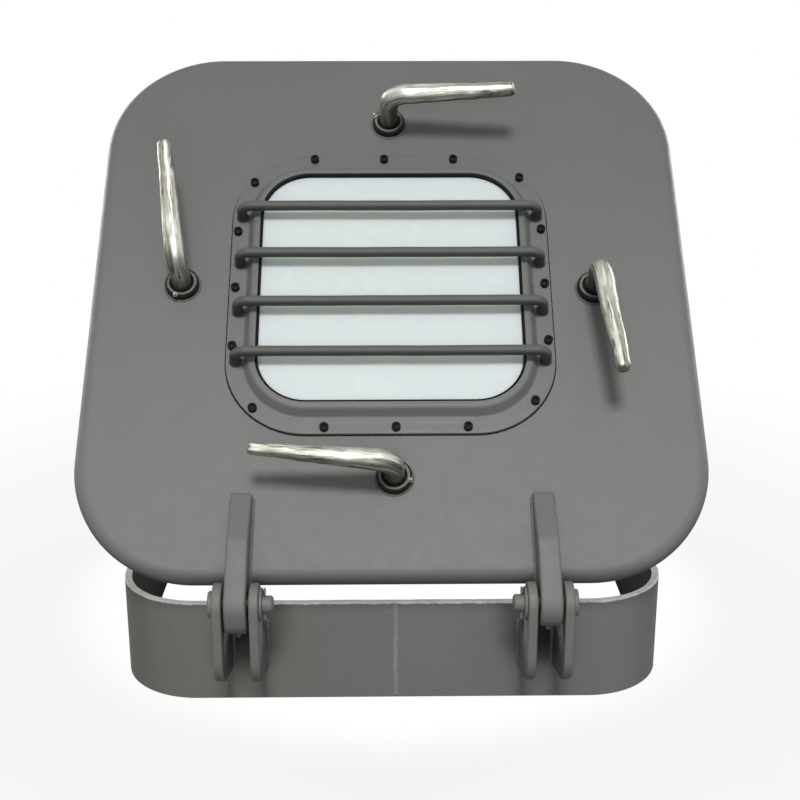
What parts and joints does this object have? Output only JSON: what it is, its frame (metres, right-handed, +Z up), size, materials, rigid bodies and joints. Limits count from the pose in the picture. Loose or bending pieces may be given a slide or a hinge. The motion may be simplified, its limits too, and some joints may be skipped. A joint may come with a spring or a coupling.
{
  "type": "deck hatch",
  "caption": "Square weathertight deck hatch: a rolled-edge lid with a guarded window and turning dog levers, hinged part open on a low weld-in coaming.",
  "frame": {"origin": "centre of the coaming's foot, on the deck", "axes": "+Z up out of the deck; +Y away from the hinges; +X to the right seen from the hinge side"},
  "size_m": [0.7, 0.7105, 0.6719],
  "materials": {
    "coaming_paint": "matt grey paint",
    "hinge_paint": "matt grey paint",
    "lid_paint": "matt grey paint",
    "seal_rubber": "matt black",
    "pane_glass": "clear",
    "black_screw": "black oxide",
    "bush_bronze": "machined bronze",
    "galvanised_steel": "galvanised",
    "plated_steel": "zinc plated"
  },
  "bodies": {
    "coaming": {"coaming": "coaming_paint", "hinge_lug_left_outer": "hinge_paint", "hinge_lug_left_inner": "hinge_paint", "hinge_lug_right_outer": "hinge_paint", "hinge_lug_right_inner": "hinge_paint", "hinge_pin_left": "hinge_paint", "hinge_pin_right": "hinge_paint", "hinge_washers": "hinge_paint", "hinge_split_pins": "hinge_paint", "dog_wedge_far": "coaming_paint", "dog_wedge_right": "coaming_paint", "dog_wedge_near": "coaming_paint", "dog_wedge_left": "coaming_paint"},
    "lid": {"lid_pan": "lid_paint", "gasket_bar_outer": "lid_paint", "gasket_bar_inner": "lid_paint", "lid_gasket": "seal_rubber", "window_backing_ring": "lid_paint", "window_glass": "pane_glass", "window_gasket": "seal_rubber", "window_clamp_ring": "lid_paint", "window_screws": "black_screw", "guard_bar_1": "lid_paint", "guard_bar_2": "lid_paint", "guard_bar_3": "lid_paint", "guard_bar_4": "lid_paint", "hinge_arm_left": "hinge_paint", "hinge_arm_right": "hinge_paint", "hinge_bush_left": "bush_bronze", "hinge_bush_right": "bush_bronze", "hinge_grease_nipples": "hinge_paint", "dog_seals": "seal_rubber", "dog_grease_nipples": "plated_steel", "dog_bush_far": "lid_paint", "dog_bush_right": "lid_paint", "dog_bush_near": "lid_paint", "dog_bush_left": "lid_paint"},
    "dog_far": {"dog_lever_far": "galvanised_steel", "dog_arm_far": "galvanised_steel", "dog_washer_far": "plated_steel", "dog_nut_far": "plated_steel"},
    "dog_right": {"dog_lever_right": "galvanised_steel", "dog_arm_right": "galvanised_steel", "dog_washer_right": "plated_steel", "dog_nut_right": "plated_steel"},
    "dog_near": {"dog_lever_near": "galvanised_steel", "dog_arm_near": "galvanised_steel", "dog_washer_near": "plated_steel", "dog_nut_near": "plated_steel"},
    "dog_left": {"dog_lever_left": "galvanised_steel", "dog_arm_left": "galvanised_steel", "dog_washer_left": "plated_steel", "dog_nut_left": "plated_steel"}
  },
  "joints": [
    {"name": "lid_hinge", "type": "hinge", "parent": "coaming", "child": "lid", "pos_m": [0, -0.3785, 0.149], "axis": [1, 0, 0], "range_deg": [-47.2, 132.8]},
    {"name": "dog_far_turn", "type": "hinge", "parent": "lid", "child": "dog_far", "pos_m": [-0.0015, 0.04727, 0.59701], "axis": [0, -0.7337, 0.6794], "range_deg": [-17.3, 92.7]},
    {"name": "dog_right_turn", "type": "hinge", "parent": "lid", "child": "dog_right", "pos_m": [0.2365, -0.1141, 0.42275], "axis": [0, -0.7337, 0.6794], "range_deg": [-25.2, 84.8]},
    {"name": "dog_near_turn", "type": "hinge", "parent": "lid", "child": "dog_near", "pos_m": [0.002, -0.27547, 0.24849], "axis": [0, -0.7337, 0.6794], "range_deg": [-18, 92]},
    {"name": "dog_left_turn", "type": "hinge", "parent": "lid", "child": "dog_left", "pos_m": [-0.243, -0.11003, 0.42715], "axis": [0, -0.7337, 0.6794], "range_deg": [-27.9, 82.1]}
  ]
}
